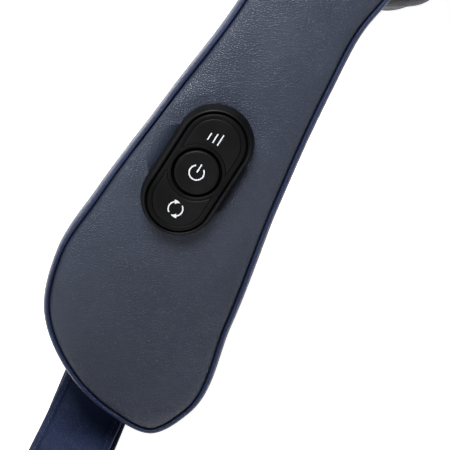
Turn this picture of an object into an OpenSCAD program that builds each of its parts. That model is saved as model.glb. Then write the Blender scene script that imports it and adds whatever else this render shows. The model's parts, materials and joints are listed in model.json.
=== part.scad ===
// Shiatsu neck massager, standing on a table as an arch: two padded arms come down at the front,
// a crest goes over the shoulders, and a back pad with the kneading heads comes down behind.
// +Z is up, the arms point to -Y, the wearer's right arm is at -X. Lengths are in millimetres.

/* [Posture] */
// Slope of the arms above the table
arm_slope = 38; // [34:1:42]
// Slope of the back pad above the table
pad_slope = 58; // [54:1:62]
// Outer radius of the crest over the shoulders
crest_r = 60; // [56:1:66]

/* [Cover] */
// Length of an arm from the crest to its tip
arm_len = 221; // [221:1:224]
// Thickness of the arms and the crest
arm_t = 34; // [33:1:36]
// Thickness of the back pad
pad_t = 56; // [56:1:58]
// Thickness of the leather and the lining
skin_t = 1.5; // [1:0.1:1.6]
// How far the leather face stays inside the outline
seam_inset = 2.5; // [2:0.1:4]
// Half of the soft gap that lets an arm flex
flex_gap = 4; // [4:0.5:6]

/* [Massage unit] */
// Distance of a rotor axle from the middle plane
rotor_x = 52; // [50:1:53]
// Distance of the worm shaft from the top of the back pad
shaft_v = 68; // [67:1:69]
// Radius of the motor can
motor_r = 13.85; // [13:0.05:13.9]
// Length of the motor can
motor_len = 38; // [34:1:40]
// Radius of a large head
large_head_r = 14.5; // [14:0.1:14.5]
// Radius of a small head
small_head_r = 11; // [10:0.1:11]

/* [Control panel] */
// Half of the distance between the panel's two end centres
panel_half = 16.6; // [15:0.1:18]
// Outer radius of the panel's ends
panel_r = 19.2; // [18.6:0.1:19.2]
// Height of the key tops above the leather
panel_h = 7; // [6.6:0.1:7.4]
// Travel of a key
key_travel = 0.8; // [0.3:0.1:0.8]

/* [Straps] */
// Width of a hand strap
strap_w = 37; // [32:1:38]
// Thickness of a hand strap
strap_t = 2.2; // [1.6:0.1:2.4]
// Length of a hand loop
loop_len = 110; // [90:1:110]
// Radius of a hand loop's far end
loop_r = 16; // [12:1:18]

/* [Hidden] */
$fn = 64;

// Colours
leather = "#3b4150";
band = "#2b3350";
foam = "#d9d4c4";
cloth = "#22252c";
black = "#232323";
dark_key = "#2f2f2f";
steel = "#a9adb2";
white_part = "#dcdcd6";
copper_green = "#1f5d3a";
strap_navy = "#2a3054";

// The cover as a bent sheet: s runs over its outer face, from the arm tips (s < 0) over the crest
// to the back pad, w is the height above that face, and x is the width
crest_arc = crest_r * (arm_slope + pad_slope) * PI / 180;
gear_module = 1.1;                    // worm gearing
wheel_teeth = 40;
worm_r = 6;                           // at the pitch line
rest_cut = 1.2;                       // depth that rests flat on the table
crest_z = arm_len * sin(arm_slope) - (crest_r - arm_t) * cos(arm_slope) - rest_cut;
pad_len = (crest_z + (crest_r - pad_t) * cos(pad_slope) + rest_cut) / sin(pad_slope);

// Strap: it leaves the arm at this angle to the X axis, measured in the arm's plane
strap_plan = 66;
strap_root = [-201, -217];
// On the table the same line makes this angle with the Y axis
strap_turn = atan(cos(strap_plan) / (sin(strap_plan) / cos(arm_slope)));

// The Y of the crest's centre puts the middle of the whole depth at Y = 0
front_reach = crest_r * sin(arm_slope) - strap_root.y * cos(arm_slope) - arm_t * sin(arm_slope)
    + loop_len * cos(strap_turn) + strap_w / 2 * sin(strap_turn);
back_reach = crest_r * sin(pad_slope) + pad_len * cos(pad_slope);
crest_y = (front_reach - back_reach) / 2;
crest_c = [crest_y, crest_z];

function turned(p, a) = [p.x * cos(a) - p.y * sin(a), p.x * sin(a) + p.y * cos(a)];
function bent(s, w) =
    s < 0 ? crest_c + turned([s, crest_r + w], arm_slope)
    : s > crest_arc ? crest_c + turned([s - crest_arc, crest_r + w], -pad_slope)
    : crest_c + turned([0, crest_r + w], arm_slope - s / crest_r * 180 / PI);
function bent_point(x, s, w) = let(q = bent(s, w)) [x, q.x, q.y];

// A smooth curve through control points, with n pieces a span
function tangent(p, i) =
    let(a = p[max(i - 1, 0)], b = p[i], c = p[min(i + 1, len(p) - 1)], g = norm(b - a), h = norm(c - b))
    g == 0 ? (c - b) / h : h == 0 ? (b - a) / g : ((c - b) / h * g + (b - a) / g * h) / (g + h);
function spline(p, n) = concat(
    [for (i = [0:len(p) - 2], k = [0:n - 1])
        let(t = k / n, h = norm(p[i + 1] - p[i]))
        p[i] * (1 + 2 * t) * (1 - t)^2 + p[i + 1] * t^2 * (3 - 2 * t)
        + h * (tangent(p, i) * t * (1 - t)^2 - tangent(p, i + 1) * t^2 * (1 - t))],
    [p[len(p) - 1]]);
// The same curve moved to its right-hand side by d
function inset(p, d) = [for (i = [0:len(p) - 1])
    let(a = p[max(i - 1, 0)], b = p[min(i + 1, len(p) - 1)], u = (b - a) / norm(b - a))
    p[i] + d * [u.y, -u.x]];

// Edge of an arm: down its inner side, round the paddle, up its outer side
arm_edge = spline([
    [-42, 8], [-61, -15], [-77, -45], [-104, -105], [-127.5, -165], [-148.5, -210], [-168, -220.7],
    [-189, -210.5], [-210.5, -187.5], [-221, -157.5], [-214.5, -127.5], [-195, -97.5],
    [-159, -48.7], [-117, 8]], 7);
// Outer edge of the core from the right arm round the back pad to the left arm
function flip_x(p) = [for (i = [len(p) - 1:-1:0]) [-p[i].x, p[i].y]];
core_stops = [[-123, 0], [-112, 18], [-106, 38], [-107, 65], [-112, 100], [-116, 135], [-114, 195],
    [-101, 224], [-70, 236]];
core_edge = spline(concat(core_stops, [[0, crest_arc + pad_len]], flip_x(core_stops)), 8);
half_edge = [for (p = core_edge) if (p.x <= 0) p];
// Edge of the neck opening from the left arm over its middle to the right arm
neck_stops = [[48.5, 0], [36, 17], [22, 32], [9, 41]];
neck_edge = spline(concat(neck_stops, [[0, 42.5]], flip_x(neck_stops)), 5);
half_neck = [for (p = neck_edge) if (p.x <= 0) p];

// Where a half of the core starts and ends across its width at the place s
function edge_key(p) = [for (q = p) [q.y, q.x]];
neck_key = edge_key([for (i = [len(half_neck) - 1:-1:0]) half_neck[i]]);
neck_s = half_neck[0].y;
function inner_x(s, d, back) = s < neck_s + back ? lookup(s - back, neck_key) - d : 0;

// --- General solids ---

// A closed tube of four-point rings
module ring_body(rings) {
    last = len(rings) - 1;
    polyhedron(
        [for (r = rings, p = r) p],
        concat([[3, 2, 1, 0]],
            [for (i = [0:last - 1], k = [0:3])
                [4 * i + k, 4 * i + (k + 1) % 4, 4 * i + 4 + (k + 1) % 4, 4 * i + 4 + k]],
            [[for (k = [0:3]) 4 * last + k]]));
}

// A layer of the core between two places, d inside the outline, from w0 up to w1;
// back says how far it keeps behind the middle of the neck curve
module core_layer(s0, s1, d, back, w0, w1) {
    step = 4;
    apex = neck_s + back;
    key = edge_key(inset(half_edge, d));
    function ring(s, inner) = let(a = lookup(s, key))
        [bent_point(a, s, w0), bent_point(inner == undef ? -a : inner, s, w0),
         bent_point(inner == undef ? -a : inner, s, w1), bent_point(a, s, w1)];
    for (flip = [0, 1])
        mirror([flip, 0, 0])
            ring_body([for (s = concat([for (s = [s0:step:apex - 0.5 * step]) s], [apex]))
                ring(s, inner_x(s, d, back))]);
    ring_body([for (s = concat([for (s = [apex:step:s1 - 0.5 * step]) s], [s1])) ring(s)]);
}

// A band of thickness t along a curve of [x, s] points, from the depth of the cover up to w1
step_start = crest_arc - 6;           // here the cover starts to deepen from the crest to the pad
step_len = 8;
function cover_depth(s, gap) =
    let(f = min(max((s - step_start) / step_len, 0), 1)) -arm_t - (pad_t - arm_t) * f + gap;
module edge_band(p, t, gap, w1) {
    q = inset(p, t);
    ring_body([for (i = [0:len(p) - 1])
        let(s = p[i].y, r = q[i].y, w0 = cover_depth(s, gap))
        [bent_point(p[i].x, s, w0), bent_point(q[i].x, r, w0),
         bent_point(q[i].x, r, w1), bent_point(p[i].x, s, w1)]]);
}

module above_table() {
    reach = 600;
    intersection() {
        children();
        translate([-reach / 2, -reach / 2, 0]) cube(reach);
    }
}

// Frames of the two flat stretches: x across, y along s, z out of the outer face
module in_arm() { translate([0, bent(0, 0).x, bent(0, 0).y]) rotate([arm_slope, 0, 0]) children(); }
module in_pad() {
    translate([0, bent(crest_arc, 0).x, bent(crest_arc, 0).y]) rotate([-pad_slope, 0, 0]) children();
}
module on_side(side) { mirror([side > 0 ? 1 : 0, 0, 0]) children(); }

module rounded_slab(size, r) {
    linear_extrude(size.z) {
        square([size.x - 2 * r, size.y], center = true);
        square([size.x, size.y - 2 * r], center = true);
        for (i = [-1, 1], j = [-1, 1])
            translate([i * (size.x / 2 - r), j * (size.y / 2 - r)]) circle(r);
    }
}

// --- Arms (drawn at -X; the left arm is the mirror image) ---

module arm_slab(d, w0, w1) {
    intersection() {
        translate([0, 0, w0]) linear_extrude(w1 - w0) polygon(inset(arm_edge, d));
        translate([-300, -300, w0 - 1]) cube([300, 300 - flex_gap, w1 - w0 + 2]);
    }
}

foam_split = [-15.9, -19.1];          // the foam's two layers leave a slot for the cable

module arm_face(side) {
    color(leather) on_side(side) above_table() in_arm() difference() {
        arm_slab(seam_inset, -skin_t, 0);
        if (side < 0) in_panel() translate([0, 0, -skin_t - 1]) stadium(bezel_tube_r + 0.2, skin_t + 2);
    }
}

module arm_gusset(side) {
    color(band) on_side(side) above_table() in_arm() difference() {
        arm_slab(0, -arm_t + skin_t, -skin_t - 0.2);
        translate([0, 0, -arm_t]) linear_extrude(arm_t)
            polygon(concat(inset(arm_edge, skin_t), [[-120, 40], [-45, 40]]));
        if (side > 0) in_jack() jack_body(0.2);
    }
}

module arm_lining(side) {
    color(cloth) on_side(side) above_table() in_arm() arm_slab(0.5, -arm_t, -arm_t + skin_t - 0.2);
}

module arm_foam(side) {
    color(foam) on_side(side) above_table() in_arm() difference() {
        union() {
            arm_slab(skin_t + 0.3, foam_split[0], -skin_t - 0.3);
            arm_slab(skin_t + 0.3, -arm_t + skin_t + 0.1, foam_split[1]);
        }
        if (side < 0) in_panel() {
            translate([0, 0, -tub_depth - 0.3]) stadium(tub_r + 0.3, tub_depth + 1);
            translate([0, 0, -flange_t - skin_t - 0.6]) stadium(flange_r + 0.3, flange_t + 1);
            translate([0, cable_start, -20]) cube([8, 5, 20], center = true);
        }
        if (side > 0) {
            in_battery() battery_box(0.3);
            in_jack() jack_body(0.3);
        }
    }
}

// The strap's sewn end lies flat under the lining
module strap_anchor(side) {
    length = 34;
    end_gap = 6;
    color(strap_navy) on_side(side) above_table() in_arm()
        translate([strap_root.x, strap_root.y, -arm_t - 0.2 - strap_t])
            rotate([0, 0, strap_plan - 90])
                translate([-strap_w / 2, end_gap, 0]) cube([strap_w, length, strap_t]);
}

// Loop of strap lying on the table; its profile is a teardrop with the hinge at its point
loop_start = 3;
hinge_z = 3;
loop_hinge = let(q = bent(strap_root.y, -arm_t)) [strap_root.x, q.x, hinge_z];

loop_c = [loop_len - loop_r, loop_r];
loop_tip = loop_start - 6;            // where the two layers would meet in a point
loop_angle = 2 * atan(loop_r / (loop_c.x - loop_tip));
function loop_arc(r) = [for (k = [0:24])
    let(a = -90 + k * (180 + loop_angle) / 24) loop_c + r * [cos(a), sin(a)]];

module strap_loop(side) {
    color(strap_navy) on_side(side) translate([loop_hinge.x, loop_hinge.y, 0])
        rotate([0, 0, -strap_turn]) rotate([90, 0, -90])
            translate([0, 0, -strap_w / 2]) linear_extrude(strap_w) difference() {
                polygon(concat([[loop_start, 0]], loop_arc(loop_r),
                    [[loop_start, (loop_start - loop_tip) * tan(loop_angle)]]));
                polygon(concat([[loop_tip + strap_t / tan(loop_angle / 2), strap_t]],
                    loop_arc(loop_r - strap_t)));
            }
}

// --- Control panel (in its own frame: y along the panel, z out of the leather) ---

panel_at = [-143.6, -83.4];
panel_turn = 57.5;                    // angle of the panel's long axis to the X axis
bezel_h = panel_h - 0.4;
bezel_tube_r = 17.1;
groove_r = 16.5;                      // inner radius of the bezel
plate_r = 15.4;                       // outer radius of the key plate
plate_t = 1.8;
power_r = 11.1;
moat_r = 12.6;                        // hole in the plate round the power key
key_r = 13;                           // radius of the end keys
key_notch_r = 14.4;                   // radius of the bite that the power key takes out of them
key_gap = 0.25;
key_lip = 0.5;                        // flange that keeps a key under the plate
lip_top = panel_h - plate_t - 0.3;
lip_t = 1;
stem_foot = 0;
tub_r = 19.3;
tub_wall = 2;
tub_depth = 14;
flange_r = 22;
flange_t = 1.5;
board_top = -5;
board_t = 1.6;
post_r = 2.4;
screw_r = 1;
posts = [for (i = [-1, 1], j = [-1, 1]) [11.9 * i, 6 * j]];
key_at = 19;                          // place of the end keys' stems along the panel
cable_start = 24;                     // place along the panel where the cable leaves the tub

module in_panel() { translate([panel_at.x, panel_at.y, 0]) rotate([0, 0, panel_turn - 90]) children(); }
module on_control() { above_table() in_arm() in_panel() children(); }

// A flat body with two round ends
module stadium(r, h) {
    linear_extrude(h) {
        for (j = [-1, 1]) translate([0, j * panel_half]) circle(r);
        square([2 * r, 2 * panel_half], center = true);
    }
}
module stadium_cone(r1, r2, h) {
    for (j = [-1, 1]) translate([0, j * panel_half, 0]) cylinder(h = h, r1 = r1, r2 = r2);
    translate([0, panel_half, 0]) rotate([90, 0, 0]) linear_extrude(2 * panel_half)
        polygon([[-r1, 0], [r1, 0], [r2, h], [-r2, h]]);
}

// Round key's neighbour: the panel's end with a bite taken out for the power key
module end_key(r, bite, h) {
    difference() {
        linear_extrude(h) {
            translate([0, panel_half]) circle(r);
            translate([-r, 0]) square([2 * r, panel_half]);
        }
        translate([0, 0, -1]) cylinder(h = h + 2, r = bite);
        translate([-50, -50, -1]) cube([100, 50, h + 2]);
    }
}

module control_bezel() {
    color(black) on_control() difference() {
        union() {
            translate([0, 0, 0.1]) stadium_cone(panel_r, bezel_tube_r + 0.5, bezel_h - 0.1);
            translate([0, 0, board_top + 1]) stadium(bezel_tube_r, 6);
        }
        translate([0, 0, board_top]) stadium(groove_r, 20);
    }
}

module key_plate() {
    color(black) on_control() difference() {
        union() {
            translate([0, 0, panel_h - plate_t]) stadium(plate_r, plate_t);
            difference() {
                translate([0, 0, board_top + 0.1]) stadium(plate_r, panel_h - board_top - 1);
                translate([0, 0, board_top - 1]) stadium(plate_r - 1.5, panel_h - board_top + 2);
            }
            for (p = posts) translate([p.x, p.y, board_top + 0.1]) cylinder(h = 7.6, r = post_r + 0.3);
        }
        translate([0, 0, 3.4]) cylinder(h = panel_h, r = moat_r);
        for (turn = [0, 180]) rotate([0, 0, turn])
            translate([0, 0, 3.4]) end_key(key_r + key_gap, key_notch_r - key_gap, panel_h);
        for (p = posts) translate([p.x, p.y, board_top - 1]) cylinder(h = 6.6, r = screw_r);
    }
}

module control_tub() {
    color(black) on_control() difference() {
        union() {
            difference() {
                union() {
                    translate([0, 0, -tub_depth]) stadium(tub_r, tub_depth - skin_t - 0.2);
                    translate([0, 0, -flange_t - skin_t - 0.2]) stadium(flange_r, flange_t);
                }
                translate([0, 0, -tub_depth + tub_wall]) stadium(tub_r - tub_wall, tub_depth);
            }
            for (p = posts) translate([p.x, p.y, -tub_depth + 1])
                cylinder(h = tub_depth - 1 + board_top - board_t, r = post_r);
        }
        for (p = posts) translate([p.x, p.y, -tub_depth - 1]) {
            cylinder(h = tub_depth + 2, r = screw_r + 0.1);
            cylinder(h = 2, r = 2);
        }
        translate([0, cable_start, -tub_depth]) cube([7, 4, 6], center = true);
    }
}

module control_board() {
    color(copper_green) on_control() difference() {
        translate([0, 0, board_top - board_t]) stadium(plate_r, board_t);
        for (p = posts) translate([p.x, p.y, board_top - board_t - 1])
            cylinder(h = board_t + 2, r = screw_r + 0.1);
    }
}

module key_switches() {
    body_h = 3.2;
    color(steel) on_control() for (y = [-key_at, 0, key_at]) {
        translate([-3, y - 3, board_top]) cube([6, 6, body_h]);
        translate([0, y, board_top]) cylinder(h = stem_foot - key_travel - 0.1 - board_top, r = 1.7);
    }
}

module control_screws() {
    color(steel) on_control() for (p = posts) translate([p.x, p.y, -tub_depth]) {
        cylinder(h = 1, r = 1.9);
        cylinder(h = tub_depth, r = screw_r - 0.02);
    }
}

module key_end(turn) {
    color(dark_key) on_control() rotate([0, 0, turn]) {
        translate([0, 0, lip_top - lip_t / 2]) end_key(key_r, key_notch_r, panel_h - lip_top + lip_t / 2);
        translate([0, 0, lip_top - lip_t]) end_key(key_r + key_lip, key_notch_r - key_lip, lip_t);
        translate([0, key_at, stem_foot]) cylinder(h = lip_top, r = 2);
    }
}
module key_intensity() { key_end(0); }
module key_rotation() { key_end(180); }

module key_power() {
    color(dark_key) on_control() {
        translate([0, 0, lip_top - lip_t]) cylinder(h = panel_h - lip_top + lip_t, r = power_r);
        translate([0, 0, lip_top - lip_t]) cylinder(h = lip_t, r = moat_r + key_lip);
        translate([0, 0, stem_foot]) cylinder(h = lip_top, r = 2.5);
    }
}

// --- Battery and charging socket in the left arm ---

battery = [38, 70, 19];
tray_wall = 2;
battery_mid = -17.5;

module in_battery() {
    translate([panel_at.x, panel_at.y, battery_mid]) rotate([0, 0, panel_turn - 90]) children();
}
module battery_box(gap) {
    cube([battery.x, battery.y, battery.z] + 2 * (tray_wall + gap) * [1, 1, 1], center = true);
}
module battery_tray() {
    inner = battery + 0.4 * [1, 1, 1];
    color(black) on_side(1) in_arm() in_battery() difference() {
        battery_box(0);
        translate([-inner.x / 2, -inner.y / 2, -inner.z / 2]) cube(inner + [0, 0, 20]);
    }
}
module battery_pack() {
    cell_r = 9.2;
    color("#3f6fa8") on_side(1) in_arm() in_battery() for (i = [-1, 1])
        translate([i * (cell_r + 0.3), 0, 0]) rotate([90, 0, 0])
            cylinder(h = battery.y - 1, r = cell_r, center = true);
}

jack_at = [-177, -73.1];
jack_size = [10.5, 15, 8];
jack_mid = -17;
module in_jack() {
    translate([jack_at.x, jack_at.y, jack_mid]) rotate([0, 0, 143.6]) children();
}
module jack_body(gap) {
    translate([-jack_size.x - gap, -jack_size.y / 2 - gap, -jack_size.z / 2 - gap])
        cube([jack_size.x + 4, jack_size.y + 2 * gap, jack_size.z + 2 * gap]);
}
// Socket with a flat oval mouth, 9 by 3.2 mm
module charge_jack() {
    mouth_w = 9;
    mouth_h = 3.2;
    color(black) on_side(1) in_arm() in_jack() difference() {
        translate([-jack_size.x, -jack_size.y / 2, -jack_size.z / 2]) cube(jack_size);
        translate([-8, 0, 0]) rotate([0, 90, 0]) linear_extrude(10) {
            square([mouth_h, mouth_w - mouth_h], center = true);
            for (j = [-1, 1]) translate([0, j * (mouth_w - mouth_h) / 2]) circle(mouth_h / 2);
        }
    }
}

// --- Flat cables in the slot of the foam: arm half, then core half round the crest ---

cable_w = 6;
cable_t = 1.6;
cable_mid = (foam_split[0] + foam_split[1]) / 2;
cable_x = 72;                         // where the cables cross the flexing line
cable_end = -2.8;

module ribbon(a, b, w = cable_w) {
    d = b - a;
    translate([a.x, a.y, cable_mid - cable_t / 2]) rotate([0, 0, atan2(d.y, d.x)])
        translate([0, -w / 2, 0]) cube([norm(d), w, cable_t]);
}
function panel_point(y) = panel_at + turned([0, y], panel_turn - 90);
module cable_right() {
    color(black) in_arm() {
        ribbon(panel_point(cable_start - 1), [-cable_x, cable_end]);
        in_panel() translate([0, cable_start, cable_mid]) translate([-2, -1, 0])
            cube([4, 2, 6]);
    }
}
module cable_left() {
    color(black) on_side(1) in_arm()
        ribbon(panel_point(battery.y / 2 + tray_wall + 2), [-cable_x, cable_end]);
}
module cable_core() {
    r = crest_r + cable_mid - cable_t / 2;
    fold = 8;                         // last stretch goes down into the massage unit
    color(black) for (side = [-1, 1]) {
        translate([side * cable_x - cable_w / 2, crest_c.x, crest_c.y]) rotate([90, 0, 90])
            rotate([0, 0, 90 - pad_slope]) rotate_extrude(angle = pad_slope + arm_slope, $fn = 128)
                translate([r, 0]) square([cable_t, cable_w]);
        in_pad() translate([side * cable_x - cable_w / 2, -0.01, cable_mid - cable_t / 2])
            cube([cable_w, unit_top + fold, cable_t]);
    }
}

// --- Core ---

// Outline of the back pad in the pad's own frame, from a little above the crest's end down
pad_outline = let(low = [for (p = core_edge) if (p.y > crest_arc + 2) [p.x, p.y - crest_arc]])
    concat([[low[0].x, -5]], low, [[-low[0].x, -5]]);

module pad_slab(d, w0, w1, from = 0) {
    intersection() {
        translate([0, 0, w0]) linear_extrude(w1 - w0) polygon(inset(pad_outline, d));
        translate([-200, from, w0 - 1]) cube([400, 400, w1 - w0 + 2]);
    }
}

unit_top = 12;                        // massage unit's upper edge, below the pad's top
unit_size = [160, 112];
unit_mid = unit_top + unit_size.y / 2;
unit_back = -10;                      // rear of the massage unit, below the leather
unit_front = -46;
unit_split = -38;
wall = 2.5;
corner_r = 14;
foam_gap = 0.4;
layer_gap = 0.3;
crest_end = crest_arc + 2;            // the crest's layers end just inside the flat back pad

module core_face() {
    face_end = half_edge[len(half_edge) - 1].y - seam_inset - 0.6;
    color(leather) above_table()
        core_layer(flex_gap, face_end, seam_inset, 0.6 * seam_inset, -skin_t, 0);
}

// The part of a curve beyond the flexing gap, with its two ends brought onto the gap's edge
function cut_at(a, b) = a + (b - a) * (flex_gap - a.y) / (b.y - a.y);
function beyond_gap(p) = let(inner = [for (i = [0:len(p) - 1]) if (p[i].y > flex_gap) i],
    first = inner[0], last = inner[len(inner) - 1])
    concat([cut_at(p[first - 1], p[first])], [for (i = inner) p[i]], [cut_at(p[last + 1], p[last])]);

module core_gusset() {
    color(band) above_table() for (edge = [core_edge, neck_edge])
        edge_band(beyond_gap(edge), skin_t, skin_t, -skin_t - 0.2);
}

module crest_foam() {
    side_gap = skin_t + 1;
    color(foam) {
        core_layer(flex_gap, crest_end, side_gap, 1.3 * side_gap, foam_split[0], -skin_t - layer_gap);
        core_layer(flex_gap, crest_end, side_gap, 1.3 * side_gap, -arm_t + skin_t + 0.1, foam_split[1]);
    }
}

module crest_lining() {
    color(cloth) core_layer(flex_gap + 1.5, step_start - 1, 0.5, 0.65, -arm_t, -arm_t + skin_t - 0.2);
}

module back_foam() {
    d = skin_t + layer_gap;
    color(foam) above_table() in_pad() pad_slab(d, unit_back + layer_gap, -d, 2 + layer_gap);
}

module unit_hole(grow, w0, w1) {
    translate([0, unit_mid, w0]) rounded_slab([unit_size.x + grow, unit_size.y + grow, w1 - w0], corner_r);
}

module pad_frame_foam() {
    d = skin_t + layer_gap;
    color(foam) above_table() in_pad() difference() {
        pad_slab(d, -pad_t + skin_t + 0.1, unit_back, 2 + layer_gap);
        unit_hole(2 * foam_gap + 2, -pad_t - 1, unit_back + 1);
        for (side = [-1, 1])
            translate([side * cable_x - cable_w / 2 - 1, -5, cable_mid - cable_t])
                cube([cable_w + 2, 30, 2 * cable_t]);
    }
}

liner_base = [168, 120];
liner_flat = [156, 104];
liner_drop = 24;                      // how far the massage heads push the liner out
module liner_form(shrink, drop) {
    mid = [0, 68];
    hull() {
        translate([mid.x, mid.y, -pad_t + skin_t - 0.5])
            rounded_slab([liner_base.x - shrink, liner_base.y - shrink, 0.01], 18);
        translate([mid.x, mid.y, -pad_t - drop])
            rounded_slab([liner_flat.x - shrink, liner_flat.y - shrink, 0.01], 26);
    }
}

module pad_lining() {
    step_w = 2 * abs(pad_outline[0].x) - 8;
    color(cloth) above_table() in_pad() {
        difference() {
            pad_slab(0.5, -pad_t, -pad_t + skin_t - 0.2);
            translate([0, 68, -pad_t - 1]) rounded_slab([liner_base.x + 0.6, liner_base.y + 0.6, 10], 18.3);
        }
        // Step down from the crest to the thicker pad
        translate([-step_w / 2, 0.5, -pad_t + 0.1]) cube([step_w, 1.4, pad_t - arm_t - 0.4]);
    }
}

module mesh_liner() {
    color(cloth) above_table() in_pad() difference() {
        liner_form(0, liner_drop);
        translate([0, 0, 1]) liner_form(3, liner_drop - 0.5);
    }
}

// --- Massage unit (in the back pad's frame; the shaft runs along X) ---

pitch = PI * gear_module;
wheel_r = gear_module * wheel_teeth / 2;
gear_w = -28;                         // depth of the worm shaft and the wheels' middle
centre_gap = wheel_r + worm_r;
worm_len = 16;
shaft_r = 1.6;
run_gap = 0.05;                       // radial clearance of a running fit
spindle_r = 4;
pin_r = 3;
bush_r = 7;
boss_r = 9.5;
end_bush_x = 68;
wheel_t = 5;
front_bush = [unit_front, -37];
rear_bush = [-17.5, unit_back - wall];
arm_top = -48.5;                      // rotor arm, just in front of the unit
arm_plate_t = 5.5;
large_e = 12.8;                       // distance of the heads' pins from the rotor axle
small_e = 15.5;
large_h = 21;
small_h = 17;
head_base = -55;

// Rotors 1 and 2 are the upper pair, 3 and 4 the lower; odd ones are on the wearer's right
function rotor_at(k) = [(k % 2 == 1 ? -1 : 1) * rotor_x, shaft_v + (k < 3 ? -1 : 1) * centre_gap];
module at_rotor(k) { in_pad() translate([rotor_at(k).x, rotor_at(k).y, 0]) children(); }
module every_rotor() {
    for (k = [1:4]) translate([rotor_at(k).x, rotor_at(k).y, 0]) children();
}
screw_spots = [for (i = [-1, 1], v = [-50, 50]) [i * 20, unit_mid + v],
    for (i = [-1, 1]) [i * 73, unit_mid]];

module unit_slab(inset_by, w0, w1) {
    translate([0, unit_mid, w0]) rounded_slab(
        [unit_size.x - 2 * inset_by, unit_size.y - 2 * inset_by, w1 - w0], corner_r - inset_by);
}

module rear_shell() {
    boss = 4;
    color(black) in_pad() difference() {
        union() {
            difference() {
                unit_slab(0, unit_split, unit_back);
                unit_slab(wall, unit_split - 1, unit_back - wall);
            }
            every_rotor() translate([0, 0, rear_bush[0]]) cylinder(h = 6, r = boss_r);
            for (p = screw_spots) translate([p.x, p.y, unit_split]) cylinder(h = 27, r = boss);
            // Cradles of the motor and of the shaft's end bushes
            for (i = [-1, 1]) {
                translate([i * 12 - 2, shaft_v - 17, gear_w]) cube([4, 34, 17]);
                translate([i * end_bush_x - 2, shaft_v - 6, gear_w - 6]) cube([4, 12, 23]);
            }
        }
        every_rotor() translate([0, 0, -30]) cylinder(h = 30 + rear_bush[1] - 0.01, r = bush_r);
        translate([0, shaft_v, gear_w]) rotate([0, 90, 0]) {
            cylinder(h = 40, r = motor_r + 0.1, center = true);
            for (i = [-1, 1]) translate([0, 0, i * end_bush_x]) cylinder(h = 8, r = 3.5, center = true);
        }
        for (p = screw_spots) translate([p.x, p.y, unit_split - 1]) cylinder(h = 21, r = 1.3);
        for (side = [-1, 1]) translate([side * cable_x - 4, 5, cable_mid - 1.3]) cube([8, 14, 2.6]);
    }
}

module front_shell() {
    color(black) in_pad() difference() {
        union() {
            difference() {
                unit_slab(0, unit_front, unit_split - 0.05);
                unit_slab(wall, unit_front + wall, unit_split + 1);
            }
            every_rotor() translate([0, 0, unit_front]) cylinder(h = front_bush[1] - unit_front, r = boss_r);
            for (p = screw_spots) translate([p.x, p.y, unit_front])
                cylinder(h = unit_split - unit_front - 0.05, r = 4);
        }
        every_rotor() translate([0, 0, unit_front - 1]) cylinder(h = 20, r = bush_r);
        for (p = screw_spots) translate([p.x, p.y, unit_front - 1]) {
            cylinder(h = 20, r = 1.7);
            cylinder(h = 3, r = 3.2);
        }
    }
}

module housing_screws() {
    color(steel) in_pad() for (p = screw_spots) translate([p.x, p.y, unit_front]) {
        cylinder(h = 1.9, r = 2.9);
        cylinder(h = 22, r = 1.25);
    }
}

module ring(h, r, hole) {
    difference() {
        cylinder(h = h, r = r);
        translate([0, 0, -1]) cylinder(h = h + 2, r = hole);
    }
}

module rotor_bushes() {
    color("#b08d57") in_pad() every_rotor() {
        translate([0, 0, front_bush[0]]) ring(front_bush[1] - front_bush[0], bush_r, spindle_r + run_gap);
        translate([0, 0, rear_bush[0]]) ring(rear_bush[1] - rear_bush[0] - 0.01, bush_r, spindle_r + run_gap);
    }
}

module on_shaft() { in_pad() translate([0, shaft_v, gear_w]) rotate([0, 90, 0]) children(); }

module shaft_bushes() {
    color("#b08d57") on_shaft() for (i = [-1, 1])
        translate([0, 0, i * end_bush_x - 2]) ring(4, 3.5, shaft_r + run_gap);
}

module motor_can() {
    cap_r = 5;
    color(steel) on_shaft() difference() {
        union() {
            cylinder(h = motor_len, r = motor_r, center = true);
            cylinder(h = motor_len + 5, r = cap_r, center = true);
        }
        cylinder(h = motor_len + 8, r = shaft_r + run_gap, center = true);
    }
}

module motor_shaft() {
    color("#c4c7cb") on_shaft() cylinder(h = 2 * end_bush_x + 6, r = shaft_r, center = true);
}

// Single-start worm; its cross-section is the tooth's flank wrapped round one turn
addendum = 0.9;
dedendum = 1.15;
worm_tooth = 1.2;                     // thickness of the thread at the pitch line
flank = tan(20);
function thread_r(u) =
    let(half = worm_tooth / 2, rise = (half - abs(u)) / flank)
    worm_r + max(min(rise, addendum), -dedendum);
module worm(side, hand) {
    steps = 30;
    slices_per_turn = 12;
    turns = worm_len / pitch;
    color(white_part) on_shaft() translate([0, 0, side * rotor_x]) difference() {
        // The thread faces away from the upper wheel's tooth in the middle of the worm
        rotate([0, 0, 90]) translate([0, 0, -worm_len / 2])
            rotate([0, 0, hand * 180 * turns])
            linear_extrude(worm_len, twist = hand * 360 * turns, slices = round(slices_per_turn * turns))
                polygon([for (i = [0:steps - 1])
                    let(a = 360 * i / steps, u = pitch * (i / steps - (i > steps / 2 ? 1 : 0)))
                    thread_r(u) * [cos(a), sin(a)]]);
        cylinder(h = worm_len + 2, r = shaft_r, center = true);
    }
}
module worm_right() { worm(-1, 1); }
module worm_left() { worm(1, -1); }

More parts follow.
